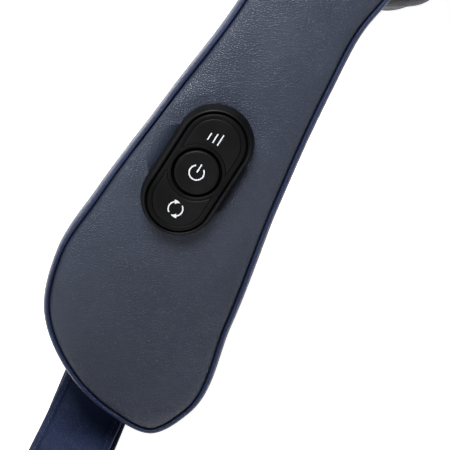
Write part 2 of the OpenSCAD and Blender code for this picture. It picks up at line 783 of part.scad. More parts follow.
wheel_tooth = 1.15;
module worm_wheel(k) {
    half_tooth = 180 / wheel_teeth;
    hub_r = 7.5;
    root_r = wheel_r - dedendum;
    tip_r = wheel_r + addendum;
    w_root = (wheel_tooth / 2 + dedendum * flank) / root_r * 180 / PI;
    w_tip = (wheel_tooth / 2 - addendum * flank) / tip_r * 180 / PI;
    color(white_part) at_rotor(k) difference() {
        union() {
            translate([0, 0, gear_w - wheel_t / 2]) rotate([0, 0, k < 3 ? 0 : half_tooth])
                linear_extrude(wheel_t) polygon([for (i = [0:wheel_teeth - 1])
                    for (q = [[-w_root, root_r], [-w_tip, tip_r], [w_tip, tip_r], [w_root, root_r]])
                    let(a = 2 * half_tooth * i + q[0]) q[1] * [cos(a), sin(a)]]);
            translate([0, 0, -36.4]) cylinder(h = 12.4, r = hub_r);
        }
        translate([0, 0, -40]) cylinder(h = 20, r = spindle_r + 0.01);
        // Lightening holes in the web
        for (a = [0:60:300]) rotate([0, 0, a]) translate([14, 0, -32]) cylinder(h = 8, r = 3.6);
    }
}

module rotor_arm(k) {
    tilt = k % 2 == 1 ? 30 : 150;
    bar_w = 13;
    color(black) at_rotor(k) {
        translate([0, 0, -50]) cylinder(h = 50 + rear_bush[0] + 4, r = spindle_r);
        rotate([0, 0, tilt]) {
            translate([0, 0, arm_top - arm_plate_t]) {
                cylinder(h = arm_plate_t, r = 9);
                translate([large_e, 0, 0]) cylinder(h = arm_plate_t, r = 7);
                translate([-small_e, 0, 0]) cylinder(h = arm_plate_t, r = 7);
                translate([-small_e, -bar_w / 2, 0]) cube([small_e + large_e, bar_w, arm_plate_t]);
            }
            translate([large_e, 0, head_base - large_h + 4]) cylinder(h = large_h, r = pin_r);
            translate([-small_e, 0, head_base - small_h + 4]) cylinder(h = small_h, r = pin_r);
        }
    }
}

// Domed kneading head with a blind bore; its base faces the rotor arm
module head(r, h) {
    steps = 12;
    power = 2.2;
    difference() {
        rotate([180, 0, 0]) rotate_extrude() polygon(concat([[0, 0]],
            [for (i = [0:steps]) let(t = i / steps) [r * pow(1 - pow(t, power), 1 / power), t * h]]));
        translate([0, 0, -h + 3.6]) cylinder(h = h, r = pin_r + run_gap);
    }
}
module at_head(k, e) {
    tilt = k % 2 == 1 ? 30 : 150;
    at_rotor(k) rotate([0, 0, tilt]) translate([e, 0, head_base]) children();
}
module head_large(k) { color("#6d7078") at_head(k, large_e) head(large_head_r, large_h); }
module head_small(k) { color("#6d7078") at_head(k, -small_e) head(small_head_r, small_h); }

core_face();
core_gusset();
crest_foam();
crest_lining();
back_foam();
pad_frame_foam();
pad_lining();
mesh_liner();
rear_shell();
front_shell();
housing_screws();
motor_can();
rotor_bushes();
shaft_bushes();
cable_core();
motor_shaft();
worm_right();
worm_left();
for (k = [1:4]) {
    worm_wheel(k);
    rotor_arm(k);
    head_large(k);
    head_small(k);
}
for (side = [-1, 1]) {
    tag = side < 0 ? "right" : "left";
    arm_face(side);
    arm_gusset(side);
    arm_lining(side);
    arm_foam(side);
    strap_anchor(side);
    strap_loop(side);
}
cable_right();
cable_left();
control_bezel();
key_plate();
control_tub();
control_board();
key_switches();
control_screws();
key_intensity();
key_power();
key_rotation();
battery_pack();
battery_tray();
charge_jack();
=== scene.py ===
import json
import math
import bmesh
import bpy
import numpy as np
from mathutils import Matrix, Vector, noise
from mathutils.geometry import delaunay_2d_cdt


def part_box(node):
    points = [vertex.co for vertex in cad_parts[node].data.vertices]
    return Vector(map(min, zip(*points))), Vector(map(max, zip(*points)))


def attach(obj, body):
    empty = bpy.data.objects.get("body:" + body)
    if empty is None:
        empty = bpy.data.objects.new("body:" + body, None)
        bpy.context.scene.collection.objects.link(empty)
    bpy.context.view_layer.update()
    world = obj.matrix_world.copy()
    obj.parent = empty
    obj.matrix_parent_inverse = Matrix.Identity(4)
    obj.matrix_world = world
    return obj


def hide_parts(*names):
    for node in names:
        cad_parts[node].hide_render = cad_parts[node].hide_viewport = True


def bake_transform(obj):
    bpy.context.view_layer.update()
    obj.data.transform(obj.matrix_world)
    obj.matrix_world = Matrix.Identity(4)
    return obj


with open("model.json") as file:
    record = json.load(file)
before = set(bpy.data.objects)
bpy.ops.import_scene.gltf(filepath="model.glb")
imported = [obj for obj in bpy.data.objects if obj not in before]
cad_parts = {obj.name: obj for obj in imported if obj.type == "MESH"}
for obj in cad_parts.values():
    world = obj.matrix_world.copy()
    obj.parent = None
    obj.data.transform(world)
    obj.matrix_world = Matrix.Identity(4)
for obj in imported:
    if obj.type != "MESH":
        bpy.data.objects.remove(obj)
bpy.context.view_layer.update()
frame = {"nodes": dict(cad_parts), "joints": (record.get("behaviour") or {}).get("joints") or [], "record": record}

MM = 0.001
JOINTS = {j["name"]: j for j in frame["joints"]}

# --- Camera: looks down on the right arm, turned slightly to the model's left ---

CAM_AZ = math.radians(6)
CAM_EL = math.radians(66)
CAM_ROLL = math.radians(5.3)          # turns the arm upright in the picture
CAM_AWAY = 3.0
CAM_VIEW = 0.2212                     # height of the frame at the panel, in metres
CAM_AIM = Vector((-0.1302, -0.0385, 0.0929))

cam_dir = Vector((math.sin(CAM_AZ) * math.cos(CAM_EL),
                  -math.cos(CAM_AZ) * math.cos(CAM_EL),
                  math.sin(CAM_EL)))
camera = bpy.data.objects.new("camera", bpy.data.cameras.new("camera"))
bpy.context.scene.collection.objects.link(camera)
camera.location = CAM_AIM + cam_dir * CAM_AWAY
camera.rotation_euler = (cam_dir.to_track_quat("Z", "Y").to_matrix()
                         @ Matrix.Rotation(-CAM_ROLL, 3, "Z")).to_euler()
camera.data.sensor_width = 36
camera.data.lens = 36 * CAM_AWAY / CAM_VIEW
bpy.context.scene.camera = camera

# --- The bent cover: s runs over its outer face from the arm tips over the crest to the back pad,
# w is the height above that face, x is the width. All three are in millimetres. ---

key_axis = JOINTS["key_power_press"]["axis"]
rotor_axis = JOINTS["rotor_1_spin"]["axis"]
ARM_SLOPE = math.atan2(key_axis[1], -key_axis[2])
PAD_SLOPE = math.atan2(rotor_axis[1], rotor_axis[2])
CREST_R = 60.0
ARM_T = 34.0
PAD_T = 56.0
ARC = CREST_R * (ARM_SLOPE + PAD_SLOPE)
flex_at = JOINTS["arm_right_flex"]["pos_m"]
CREST_Y = flex_at[1] / MM + (CREST_R - ARM_T / 2) * math.sin(ARM_SLOPE)
CREST_Z = flex_at[2] / MM - (CREST_R - ARM_T / 2) * math.cos(ARM_SLOPE)
REST_CUT = 1.2
PAD_LEN = (CREST_Z + (CREST_R - PAD_T) * math.cos(PAD_SLOPE) + REST_CUT) / math.sin(PAD_SLOPE)
S_END = ARC + PAD_LEN


def bent(x, s, w):
    """Points of the row frame, in metres, for places on the bent cover."""
    x, s, w = np.broadcast_arrays(np.asarray(x, float), np.asarray(s, float), np.asarray(w, float))
    turn = np.clip(s / CREST_R, 0, ARM_SLOPE + PAD_SLOPE)
    angle = ARM_SLOPE - turn
    along = np.where(s < 0, s, np.where(s > ARC, s - ARC, 0))
    r = CREST_R + w
    y = CREST_Y + along * np.cos(angle) - r * np.sin(angle)
    z = CREST_Z + along * np.sin(angle) + r * np.cos(angle)
    return np.stack([x, y, np.maximum(z, 0)], axis=-1) * MM


# --- Curves in the plane ---

def spline(points, step, closed=False):
    """A smooth curve through the points, sampled about every step."""
    p = np.array(points, float)
    n = len(p)
    if closed:
        before, after = np.roll(p, 1, 0), np.roll(p, -1, 0)
    else:
        before = np.vstack([2 * p[0] - p[1], p[:-1]])
        after = np.vstack([p[1:], 2 * p[-1] - p[-2]])
    g = np.linalg.norm(p - before, axis=1)[:, None]
    h = np.linalg.norm(after - p, axis=1)[:, None]
    tangent = ((after - p) / h * g + (p - before) / g * h) / (g + h)
    out = []
    for i in range(n if closed else n - 1):
        j = (i + 1) % n
        length = np.linalg.norm(p[j] - p[i])
        count = max(2, int(round(length / step)))
        for k in range(count):
            t = k / count
            out.append(p[i] * (1 + 2 * t) * (1 - t) ** 2 + p[j] * t * t * (3 - 2 * t)
                       + length * (tangent[i] * t * (1 - t) ** 2 - tangent[j] * t * t * (1 - t)))
    if not closed:
        out.append(p[-1])
    return np.array(out)


def normals(curve, closed=False):
    """Unit normals on the right-hand side of the direction of travel."""
    if closed:
        d = np.roll(curve, -1, 0) - np.roll(curve, 1, 0)
    else:
        d = np.gradient(curve, axis=0)
    d /= np.linalg.norm(d, axis=1)[:, None]
    return np.stack([d[:, 1], -d[:, 0]], axis=1)


def mirrored(points):
    return [(-x, y) for x, y in reversed(points)]


NECK = [(0, 42.5), (-9, 41), (-22, 32), (-36, 17), (-48.5, 0)]
ARM = [(-61, -15), (-77, -45), (-104, -105), (-127.5, -165), (-148.5, -210), (-168, -220.7),
       (-189, -210.5), (-210.5, -187.5), (-221, -157.5), (-214.5, -127.5), (-195, -97.5),
       (-159, -48.7), (-123, 0)]
CORE = [(-112, 18), (-106, 38), (-107, 65), (-112, 100), (-116, 135), (-114, 195), (-101, 224),
        (-70, 236), (0, S_END)]
EDGE_STEP = 2.2
half = NECK + ARM + CORE
whole = spline(mirrored(half[1:]) + half + mirrored(half)[1:2], EDGE_STEP)
# Keep the half at x <= 0, from the middle of the neck opening to the middle of the pad's edge
start = int(np.argmin(np.hypot(whole[:, 0], whole[:, 1] - 42.5)))
stop = int(np.argmin(np.hypot(whole[:, 0], whole[:, 1] - S_END)[start:])) + start
OUTLINE = whole[start:stop + 1]
OUTLINE_N = normals(whole)[start:stop + 1]


def inset(d):
    """The outline moved inwards by d."""
    c = OUTLINE + OUTLINE_N * np.asarray(d)[..., None] if np.ndim(d) else OUTLINE + OUTLINE_N * d
    c[:, 0] = np.minimum(c[:, 0], 0)
    c[0, 0] = c[-1, 0] = 0
    return c


def depth(s):
    """Thickness of the padded body at s: the arms and crest are thinner than the back pad."""
    t = np.clip((np.asarray(s, float) - (ARC - 12)) / 22, 0, 1)
    return ARM_T + (PAD_T - ARM_T) * t * t * (3 - 2 * t)


# --- Mesh helpers ---

def new_object(name, points, faces, smooth=True):
    """A mesh object from points in metres."""
    mesh = bpy.data.meshes.new(name)
    mesh.from_pydata([tuple(p) for p in points], [], [tuple(f) for f in faces])
    mesh.validate()
    if smooth:
        mesh.polygons.foreach_set("use_smooth", [True] * len(mesh.polygons))
    obj = bpy.data.objects.new(name, mesh)
    bpy.context.scene.collection.objects.link(obj)
    return obj


def recalc(obj):
    bm = bmesh.new()
    bm.from_mesh(obj.data)
    bmesh.ops.remove_doubles(bm, verts=bm.verts, dist=1e-6)
    bmesh.ops.recalc_face_normals(bm, faces=bm.faces)
    bm.to_mesh(obj.data)
    bm.free()


def finish_piece(obj, material, body=None, blend=None, replaces=()):
    if material is not None:
        obj.data.materials.append(material)
    if replaces:
        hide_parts(*replaces)
    if blend:
        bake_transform(obj)
    else:
        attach(obj, body)
    return obj


def inside(points, loop):
    """Which points lie inside a closed loop of the plane."""
    x, y = points[:, 0][:, None], points[:, 1][:, None]
    x0, y0 = loop[:, 0][None], loop[:, 1][None]
    x1, y1 = np.roll(loop[:, 0], -1)[None], np.roll(loop[:, 1], -1)[None]
    crosses = (y0 > y) != (y1 > y)
    at = x0 + (y - y0) * (x1 - x0) / np.where(y1 == y0, 1e-9, y1 - y0)
    return (np.sum(crosses & (x < at), axis=1) % 2) == 1


def distance(points, curve, closed=False):
    """Distance of points from a polyline, in the plane."""
    a = curve if closed else curve[:-1]
    b = np.roll(curve, -1, 0) if closed else curve[1:]
    d = b - a
    best = np.full(len(points), 1e9)
    for i in range(0, len(points), 400):
        p = points[i:i + 400, None, :] - a[None]
        t = np.clip((p * d[None]).sum(-1) / np.maximum((d * d).sum(-1), 1e-12)[None], 0, 1)
        best[i:i + 400] = np.linalg.norm(p - t[..., None] * d[None], axis=-1).min(1)
    return best


def grid_points(low, high, step):
    """A triangular grid of points over a rectangle."""
    rows = []
    for j, y in enumerate(np.arange(low[1], high[1], step * 0.866)):
        shift = step / 2 if j % 2 else 0
        rows.append(np.stack([np.arange(low[0] + shift, high[0], step),
                              np.full(len(np.arange(low[0] + shift, high[0], step)), y)], axis=1))
    return np.vstack(rows)


def fill_plane(border, extra, holes=()):
    """Triangles that fill a closed border, through extra points, round the holes."""
    loops = [border] + list(holes)
    points = [tuple(p) for loop in loops for p in loop]
    edges, first = [], 0
    for loop in loops:
        n = len(loop)
        edges += [(first + i, first + (i + 1) % n) for i in range(n)]
        first += n
    points += [tuple(p) for p in extra]
    verts, _, tris, *_ = delaunay_2d_cdt([Vector(p) for p in points], edges, [], 0, 1e-5)
    verts = np.array([(v.x, v.y) for v in verts])
    tris = np.array([t for t in tris if len(t) == 3])
    middle = verts[tris].mean(1)
    keep = inside(middle, np.asarray(border))
    for hole in holes:
        keep &= ~inside(middle, np.asarray(hole))
    return verts, tris[keep]


def waves(points, scale, seed):
    """Smooth noise from -1 to 1 over points in millimetres."""
    return np.array([noise.noise(Vector((p[0] / scale, p[1] / scale, seed))) for p in points])


# --- The key panel's own frame: u across, v along, w out of the leather ---

panel_box = [np.array(c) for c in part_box("control_bezel")]
PANEL_MID = (panel_box[0] + panel_box[1]) / 2
PANEL_HALF = 16.6
PANEL_TURN = math.radians(57.5)
# The panel's middle on the cover, worked out from the middle of the bezel's box
PANEL_X = PANEL_MID[0] / MM
arm_y = np.array([0, math.cos(ARM_SLOPE), math.sin(ARM_SLOPE)])
arm_origin = bent(0, 0, 0)
PANEL_S = float(((PANEL_MID - arm_origin) / MM) @ arm_y)


def panel_to_plane(u, v):
    c, s = math.cos(PANEL_TURN), math.sin(PANEL_TURN)
    return PANEL_X + u * s + v * c, PANEL_S - u * c + v * s


def on_panel(u, v, w):
    x, s = panel_to_plane(np.asarray(u, float), np.asarray(v, float))
    return bent(x, s, w)


def panel_distance(points):
    """Distance of plane points from the outer edge of the bezel."""
    c, s = math.cos(PANEL_TURN), math.sin(PANEL_TURN)
    dx, ds = points[:, 0] - PANEL_X, points[:, 1] - PANEL_S
    u, v = dx * s - ds * c, dx * c + ds * s
    return np.hypot(u, np.maximum(np.abs(v) - PANEL_HALF, 0)) - 19.2


# --- The leather face, the side band and the lining of one half ---

SEAM = 3.2                            # how far the seam lies inside the outline
FACE_LOOPS = [0, 0.25, 0.6, 1.2, 2.1, 3.4, 5.2, 7.5, 10.5, 14]
GRID = 3.6


def padded_height(d):
    """Height of a stuffed panel at the distance d from its seam."""
    return 0.6 - 3.4 * np.exp(-d / 17) - 1.7 * np.exp(-d / 3.0) - 2.3 * np.exp(-d / 0.4)


def half_border(d, gap):
    """Closed border of a half: the outline moved inwards by d, closed along x = -gap."""
    c = inset(d)
    c[:, 0] = np.minimum(c[:, 0], -gap)
    x = c[-1, 0]
    back = np.arange(c[-1, 1], c[0, 1], -GRID)[1:-1]
    return np.vstack([c, np.stack([np.full(len(back), x), back], axis=1)])


def half_points(first_inset, gap):
    """Points inside the half: rings that follow the outline, then a grid."""
    rings = [inset(first_inset + d)[1:-1] for d in FACE_LOOPS[1:]]
    seam = inset(first_inset)
    low, high = seam.min(0), seam.max(0)
    grid = grid_points(low, high, GRID)
    grid = grid[inside(grid, half_border(first_inset, gap))]
    grid = grid[distance(grid, seam) > FACE_LOOPS[-1] + GRID * 0.6]
    points = np.vstack(rings + [grid])
    points = points[points[:, 0] < -gap - 0.8]
    side = [np.stack([np.full(40, -gap - d), np.linspace(seam[0, 1] + 3, seam[-1, 1] - 3, 40)], axis=1)
            for d in (0.4, 0.9, 1.8, 3.2)]
    points = np.vstack([points[points[:, 0] < -gap - 4.5]] + side
                       + [points[(points[:, 0] >= -gap - 4.5) & (distance(points, seam) < 14)]])
    return points[distance(points, seam) > 0.15]


def mirror_x(points):
    return points * np.array([-1, 1, 1])


FLEX = np.array(flex_at)
BLEND_DIR = np.array([0, -math.cos(math.radians(20)), -math.sin(math.radians(20))])


def flex_blend(side):
    reach = 20 * MM
    return ("core", "arm_" + side, tuple(FLEX - BLEND_DIR * reach), tuple(FLEX + BLEND_DIR * reach))


# --- Materials ---

def srgb(r, g, b):
    """A linear colour from 8-bit screen values."""
    return tuple(((c / 255 + 0.055) / 1.055) ** 2.4 if c > 10 else c / 255 / 12.92 for c in (r, g, b)) + (1,)


class Nodes:
    """A small helper that adds and links shader nodes of one material."""

    def __init__(self, name):
        self.material = bpy.data.materials.new(name)
        self.material.use_nodes = True
        self.tree = self.material.node_tree
        self.shader = self.tree.nodes["Principled BSDF"]
        self.place = self.add("ShaderNodeTexCoord").outputs["Object"]

    def add(self, kind, **settings):
        node = self.tree.nodes.new(kind)
        for key, value in settings.items():
            if key in node.inputs:
                node.inputs[key].default_value = value
            else:
                setattr(node, key, value)
        return node

    def link(self, a, b):
        self.tree.links.new(a, b)

    def noise(self, scale, detail=2.0, rough=0.5, distort=0.0):
        node = self.add("ShaderNodeTexNoise", Scale=scale, Detail=detail, Roughness=rough, Distortion=distort)
        self.link(self.place, node.inputs["Vector"])
        return node.outputs["Fac"]

    def cells(self, scale, feature="DISTANCE_TO_EDGE", random=1.0):
        node = self.add("ShaderNodeTexVoronoi", feature=feature, Scale=scale, Randomness=random)
        self.link(self.place, node.inputs["Vector"])
        return node.outputs["Distance"]

    def map(self, value, low, high, to_low=0.0, to_high=1.0, smooth=False):
        node = self.add("ShaderNodeMapRange", interpolation_type="SMOOTHSTEP" if smooth else "LINEAR")
        self.link(value, node.inputs["Value"])
        for key, number in zip(("From Min", "From Max", "To Min", "To Max"), (low, high, to_low, to_high)):
            node.inputs[key].default_value = number
        return node.outputs["Result"]

    def math(self, operation, a, b):
        node = self.add("ShaderNodeMath", operation=operation)
        for socket, value in zip(node.inputs, (a, b)):
            if hasattr(value, "links"):
                self.link(value, socket)
            else:
                socket.default_value = value
        return node.outputs["Value"]

    def ramp(self, value, *stops):
        node = self.add("ShaderNodeValToRGB")
        self.link(value, node.inputs["Fac"])
        elements = node.color_ramp.elements
        while len(elements) < len(stops):
            elements.new(0.5)
        for element, (at, colour) in zip(elements, stops):
            element.position = at
            element.color = colour
        return node.outputs["Color"]

    def bump(self, height, strength, distance, normal=None):
        node = self.add("ShaderNodeBump", Strength=strength, Distance=distance)
        self.link(height, node.inputs["Height"])
        if normal is not None:
            self.link(normal, node.inputs["Normal"])
        return node.outputs["Normal"]

    def finish(self, colour=None, rough=None, normal=None, **constants):
        inputs = self.shader.inputs
        for key, value in (("Base Color", colour), ("Roughness", rough), ("Normal", normal)):
            if value is None:
                continue
            if hasattr(value, "links"):
                self.link(value, inputs[key])
            else:
                inputs[key].default_value = value
        for key, value in constants.items():
            inputs[key.replace("_", " ")].default_value = value
        return self.material


def leather(name, dark, light, grain=900, rough=0.42, specular=0.5, depth_of_grain=0.6):
    """Smooth-faced PU leather: a fine pebbled grain, broad tone patches and small creases."""
    n = Nodes(name)
    pebble = n.cells(grain)
    fine = n.noise(grain * 2.2, 3, 0.6)
    patch = n.noise(14, 3, 0.55, 0.6)
    pores = n.noise(grain * 0.35, 4, 0.65, 0.3)
    tone = n.math("ADD", n.map(patch, 0.35, 0.65, 0, 0.75, True), n.map(fine, 0.3, 0.7, 0, 0.25))
    colour = n.ramp(tone, (0.0, dark), (1.0, light))
    height = n.math("ADD", n.map(pebble, 0.0, 0.28, 0, 1, True), n.math("MULTIPLY", fine, 0.5))
    first = n.bump(height, depth_of_grain, 0.00022)
    second = n.bump(n.map(pores, 0.52, 0.75), 0.12, 0.0004, first)
    roughness = n.map(n.math("ADD", n.math("MULTIPLY", pores, 0.5), n.math("MULTIPLY", patch, 0.5)),
                      0.35, 0.65, rough - 0.07, rough + 0.09)
    return n.finish(colour, roughness, second, Specular_IOR_Level=specular)


def plastic(name, colour, rough, texture=1500, strength=0.25, spread=0.15, metal=0.0, specular=0.5):
    """Moulded plastic or metal with a fine spark-eroded texture and slight tone changes."""
    n = Nodes(name)
    spark = n.noise(texture, 3, 0.6)
    tone = n.noise(40, 3, 0.5)
    light = tuple(min(1, c * (1 + spread) + 0.002) for c in colour[:3]) + (1,)
    dark = tuple(c * (1 - spread) for c in colour[:3]) + (1,)
    scuff = n.map(n.noise(260, 5, 0.7, 1.5), 0.55, 0.75, 0, 0.06)
    roughness = n.math("ADD", n.map(spark, 0.3, 0.7, rough - 0.04, rough + 0.05), scuff)
    return n.finish(n.ramp(n.map(tone, 0.35, 0.65, 0, 1, True), (0, dark), (1, light)), roughness,
                    n.bump(spark, strength, 0.00006), Metallic=metal, Specular_IOR_Level=specular)


def woven(name, dark, light, pitch=0.0009, strength=0.5, rough=0.85):
    """Plain-woven cloth: two crossed sets of threads, slightly uneven."""
    n = Nodes(name)
    waves = []
    for direction in ("X", "Z"):
        wave = n.add("ShaderNodeTexWave", wave_type="BANDS", bands_direction=direction, wave_profile="SIN")
        wave.inputs["Scale"].default_value = 0.31416 / pitch
        wave.inputs["Distortion"].default_value = 0.6
        wave.inputs["Detail Scale"].default_value = 3.0
        n.link(n.place, wave.inputs["Vector"])
        waves.append(wave.outputs["Fac"])
    thread = n.math("MAXIMUM", *waves)
    slub = n.noise(120, 3, 0.6)
    colour = n.ramp(n.math("MULTIPLY", thread, n.map(slub, 0.3, 0.7, 0.75, 1)), (0.25, dark), (0.95, light))
    return n.finish(colour, rough, n.bump(thread, strength, 0.0002), Sheen_Weight=0.3, Sheen_Roughness=0.5)


FACE_DARK, FACE_LIGHT = srgb(35, 41, 55), srgb(44, 50, 65)
leather_face = leather("leather_face", FACE_DARK, FACE_LIGHT, rough=0.4, specular=0.4)
leather_band = leather("leather_band", srgb(25, 33, 58), srgb(34, 43, 70),
                       grain=1000, rough=0.4, specular=0.22)
leather_strap = leather("leather_strap", srgb(15, 25, 52), srgb(21, 33, 62),
                        grain=1000, rough=0.4, specular=0.15)
cloth_lining = woven("cloth_lining", srgb(20, 25, 40), srgb(36, 43, 62))
cloth_mesh = woven("cloth_mesh", srgb(12, 15, 24), srgb(30, 35, 48), pitch=0.0016, strength=0.9)
plastic_black = plastic("plastic_black", srgb(8, 8, 9), 0.4, specular=0.12)
plastic_key = plastic("plastic_key", srgb(13, 13, 14), 0.45, specular=0.12)
plastic_panel = plastic("plastic_panel", srgb(8, 8, 9), 0.5, specular=0.1)
icon_paint = plastic("icon_paint", srgb(205, 208, 212), 0.5, 900, 0.1, 0.05)
thread_navy = leather("thread_navy", srgb(30, 36, 60), srgb(45, 52, 80), grain=2500, rough=0.6)


# --- The leather face ---

BEZEL_HOLE = -2.4                     # the leather is cut out this far inside the bezel's outer edge


def stadium_points(r, half, step):
    """A stadium outline of the panel, in plane coordinates."""
    turn = np.linspace(0, math.pi, max(6, int(math.pi * r / step)))
    top = np.stack([r * np.cos(turn), half + r * np.sin(turn)], axis=1)
    loop = np.vstack([top, -top])
    x, s = panel_to_plane(loop[:, 0], loop[:, 1])
    return np.stack([x, s], axis=1)


def face_height(points, panel):
    """Height of the leather over the plane: stuffed panels that sink into their seams."""
    edge = distance(points, inset(SEAM))
    w = padded_height(edge)
    middle = np.abs(points[:, 0])
    centre = 1.4 * np.exp(-middle / 3.0) + 1.5 * np.exp(-middle / 0.5)
    w -= np.where(points[:, 1] > 40, centre * np.clip(edge / 4, 0, 1), 0)
    free = 1 - np.exp(-edge / 9)
    w += free * (0.35 * waves(points, 34, 1.5) + 0.16 * waves(points, 13, 4.5) - 0.25)
    if panel:
        near = np.exp(-(np.maximum(panel_distance(points) - 4.5, 0) / 7) ** 2)
        w = w * (1 - near) - 0.55 * near
    return w


def make_face(side):
    """The leather face of one half, from the arm's tip over the crest to the back pad's end."""
    panel = side == "right"
    border = half_border(SEAM, 0.0)
    extra = half_points(SEAM, 0.0)
    holes = []
    if panel:
        away = panel_distance(extra)
        rim = [stadium_points(19.2 + d, PANEL_HALF, 2.2) for d in (-1.2, -0.3, 0.4, 1.2, 2.2, 3.6, 5.4)]
        extra = np.vstack([extra[away > 7.4]] + rim)
        holes = [stadium_points(19.2 + BEZEL_HOLE, PANEL_HALF, 2.2)]
    plane, tris = fill_plane(border, extra, holes)
    points = bent(plane[:, 0], plane[:, 1], face_height(plane, panel))
    if side == "left":
        points = mirror_x(points)
    obj = new_object(f"face_{side}", points, tris)
    outward(obj, True)
    shell(obj, 1.0)
    finish_piece(obj, leather_face, blend=flex_blend(side),
                 replaces=FACE_NODES[side])
    return obj


def outward(obj, up):
    """Turns the mesh's faces so that they look away from the stuffing: up for the outer face."""
    recalc(obj)
    mesh = obj.data
    total = sum(p.normal.z * p.area for p in mesh.polygons)
    if (total > 0) != up:
        mesh.flip_normals()


def shell(obj, thickness):
    """Gives a sheet its thickness, inwards in millimetres."""
    thick = obj.modifiers.new("thickness", "SOLIDIFY")
    thick.thickness = thickness * MM
    thick.offset = -1


FACE_NODES = {
    "right": ("arm_face_right", "arm_foam_right", "core_face", "crest_foam"),
    "left": ("arm_face_left", "arm_foam_left", "back_foam"),
}

# --- The side band ---

# Across the band, from the seam of the face to the seam of the lining: [inset, w] where the body is thin
BAND_TOP = [(3.3, -6.9), (3.15, -5.3), (2.7, -4.35), (2.1, -4.0), (1.4, -4.3), (0.75, -5.3),
            (0.3, -6.8), (0.05, -9)]
BAND_LOW = [(0, -12), (0.15, -16), (0.5, -20.5), (1.0, -25), (1.6, -28.5), (2.3, -31.2),
            (3.0, -32.6), (3.4, -32.2)]
THIN, BEND_W = 34.0, -9.0


def make_band(side):
    rows = []
    along = OUTLINE
    for k, (d, w) in enumerate(BAND_TOP + BAND_LOW):
        c = inset(d)
        below = np.minimum(w - BEND_W, 0)
        full = np.where(w < BEND_W, BEND_W + below * (depth(c[:, 1]) + BEND_W) / (THIN + BEND_W), w)
        swell = np.interp(k, (0, 3, 8, 13, 15), (0, 0.25, 0.6, 0.25, 0))
        c = c - OUTLINE_N * (swell * 0.45 * (waves(along, 27, 7.5 + 0.15 * k) - 0.35))[:, None]
        c[:, 0] = np.minimum(c[:, 0], 0)
        c[0, 0] = c[-1, 0] = 0
        rows.append(bent(c[:, 0], c[:, 1], full))
    points = np.vstack(rows)
    n = len(OUTLINE)
    faces = [(r * n + i, r * n + i + 1, (r + 1) * n + i + 1, (r + 1) * n + i)
             for r in range(len(rows) - 1) for i in range(n - 1)]
    if side == "left":
        points = mirror_x(points)
    obj = new_object(f"band_{side}", points, faces)
    away = Vector((-1 if side == "right" else 1, 0, 0))
    recalc(obj)
    low, _ = side_probe(obj, away)
    if low < 0:
        obj.data.flip_normals()
    shell(obj, 1.0)
    fine = obj.modifiers.new("smooth", "SUBSURF")
    fine.levels = fine.render_levels = 1
    finish_piece(obj, leather_band, blend=flex_blend(side), replaces=BAND_NODES[side])
    return obj


def side_probe(obj, away):
    """Sum of the outward-facing share of the faces near the outer side of an arm."""
    mesh = obj.data
    reach = max(v.co.dot(away) for v in mesh.vertices)
    near = [p for p in mesh.polygons if p.center.dot(away) > reach - 0.01]
    total = sum(p.normal.dot(away) * p.area for p in near)
    return total, len(near)


BAND_NODES = {"right": ("arm_gusset_right", "core_gusset"), "left": ("arm_gusset_left",)}

for side in ("right", "left"):
    make_face(side)
    make_band(side)

# --- The lining under the body, with its opening over the massage heads ---

MESH_X, MESH_TOP, MESH_LOW, MESH_R = 92.0, 9.0, 124.0, 26.0


def rounded_rectangle(x, low, high, r, step=4.0):
    """Outline of a rectangle from -x to x with rounded corners."""
    loop = []
    corners = ((x - r, high - r, 0), (r - x, high - r, 1), (r - x, low + r, 2), (x - r, low + r, 3))
    for cx, cy, k in corners:
        turn = np.radians(np.linspace(90 * k, 90 * k + 90, 9))
        loop.append(np.stack([cx + r * np.cos(turn), cy + r * np.sin(turn)], axis=1))
    loop = np.vstack(loop)
    out = []
    for a, b in zip(loop, np.roll(loop, -1, 0)):
        count = max(1, int(np.linalg.norm(b - a) / step))
        out += [a + (b - a) * k / count for k in range(count)]
    return np.array(out)


MESH_EDGE = rounded_rectangle(MESH_X, ARC + MESH_TOP, ARC + MESH_LOW, MESH_R)


def lining_height(points):
    edge = distance(points, inset(3.4))
    w = -depth(points[:, 1]) + 1.8 * np.exp(-edge / 3.0) + 0.15
    w += 0.25 * (1 - np.exp(-edge / 10)) * waves(points, 30, 11.5)
    return w


def make_lining(side):
    border = half_border(3.4, 0.0)
    extra = half_points(3.4, 0.0)
    hole = MESH_EDGE[MESH_EDGE[:, 0] < -0.5]
    inner = inside(extra, np.vstack([hole, [(0.5, hole[-1, 1]), (0.5, hole[0, 1])]]))
    extra = extra[~inner]
    plane, tris = fill_plane(border, np.vstack([extra, hole]), [])
    middle = plane[tris].mean(1)
    tris = tris[~inside(middle, MESH_EDGE)]
    points = bent(plane[:, 0], plane[:, 1], lining_height(plane))
    if side == "left":
        points = mirror_x(points)
    obj = new_object(f"lining_{side}", points, tris)
    outward(obj, False)
    shell(obj, 0.8)
    return finish_piece(obj, cloth_lining, blend=flex_blend(side),
                        replaces=LINING_NODES[side])


LINING_NODES = {"right": ("arm_lining_right", "crest_lining", "pad_lining", "pad_frame_foam"),
                "left": ("arm_lining_left",)}

# --- The elastic mesh over the massage heads: one soft mound over each rotor ---

ROTORS = [JOINTS[f"rotor_{k}_spin"]["pos_m"] for k in (1, 2, 3, 4)]
PAD_ALONG = np.array([0, math.cos(PAD_SLOPE), -math.sin(PAD_SLOPE)])
PAD_ORIGIN = bent(0, ARC, 0)
MOUND_R, MOUND_H = 47.0, 24.0
HEADS = ((12.8, 14.5, 21.0), (15.5, 11.0, 17.0))   # distance from the rotor axle, radius and height
HEAD_BASE = -1.0                      # the heads' bases below the pad's surface
HEAD_MARGIN = 1.6


def rotor_places():
    places = []
    for pos in ROTORS:
        along = float((np.array(pos) - PAD_ORIGIN) @ PAD_ALONG) / MM
        places.append((pos[0] / MM, ARC + along))
    return places


